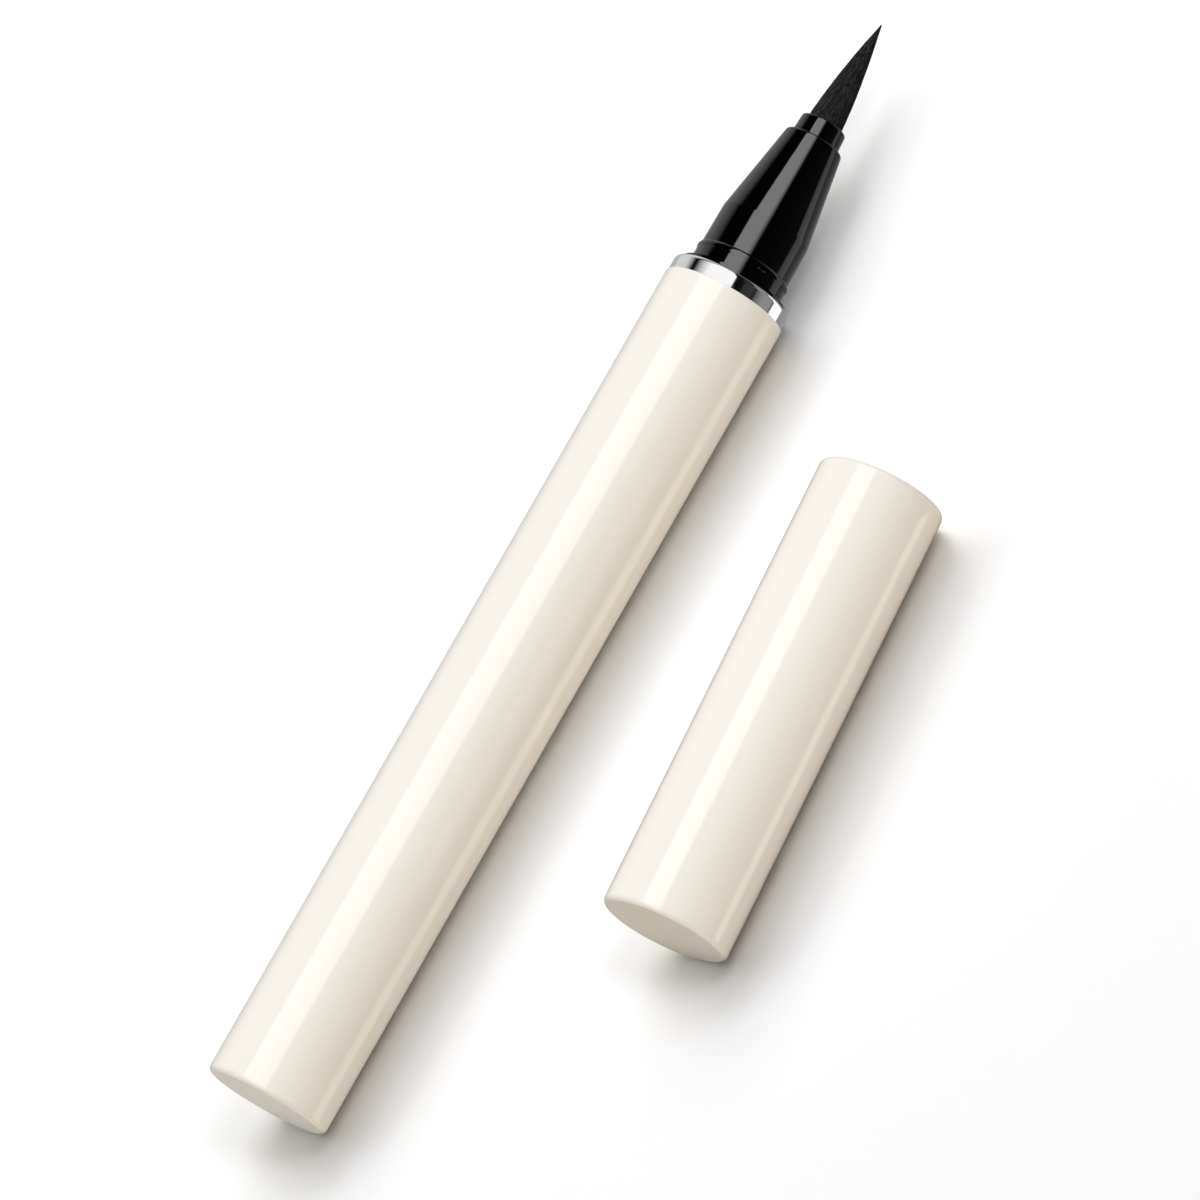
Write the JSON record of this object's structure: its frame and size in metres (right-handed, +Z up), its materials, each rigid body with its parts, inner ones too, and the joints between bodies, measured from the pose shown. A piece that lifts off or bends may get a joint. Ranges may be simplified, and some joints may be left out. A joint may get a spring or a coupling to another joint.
{
  "type": "liquid eyeliner pen",
  "caption": "Liquid eyeliner pen with a gloss tube barrel, bright ring, tapered black nose and pointed brush nib, and its matching cap with a sprung seal lying beside it.",
  "frame": {"origin": "on the surface, below the middle of the box round the pen and its cap", "axes": "+X along the pen from its tail to its brush tip, +Z up from the surface that both lie on, -Y towards the cap"},
  "size_m": [0.1058, 0.042, 0.011],
  "materials": {
    "ivory_lacquer": "gloss lacquer",
    "ring_plating": "bright plated",
    "nose_black": "gloss",
    "bristle": "matte fibres",
    "natural_plastic": "satin",
    "wick_fibre": "inked fibre",
    "steel": "bright"
  },
  "bodies": {
    "pen": {"barrel": "ivory_lacquer", "trim_ring": "ring_plating", "front_section": "nose_black", "ink_tank": "natural_plastic", "tank_plug": "natural_plastic", "ink_collector": "natural_plastic", "feed_wick": "wick_fibre", "nib_holder": "nose_black", "brush_nib": "bristle"},
    "ball": {"mixing_ball": "steel"},
    "cap": {"cap_shell": "ivory_lacquer", "cap_liner": "natural_plastic", "cap_spring": "steel"},
    "seal_cup": {"inner_cap": "natural_plastic"}
  },
  "joints": [
    {"name": "cap_pull", "type": "slide", "parent": "pen", "child": "cap", "axis": [0.9971, 0.0759, 0], "range_m": [0, 0.0263]},
    {"name": "inner_cap_slide", "type": "slide", "parent": "cap", "child": "seal_cup", "axis": [-0.9971, -0.0759, 0], "range_m": [0, 0.0018], "stiffness_N_per_m": 200, "deforming": ["cap_spring"]},
    {"name": "ball_roll", "type": "slide", "parent": "pen", "child": "ball", "axis": [1, 0, 0], "range_m": [0, 0.04]}
  ]
}
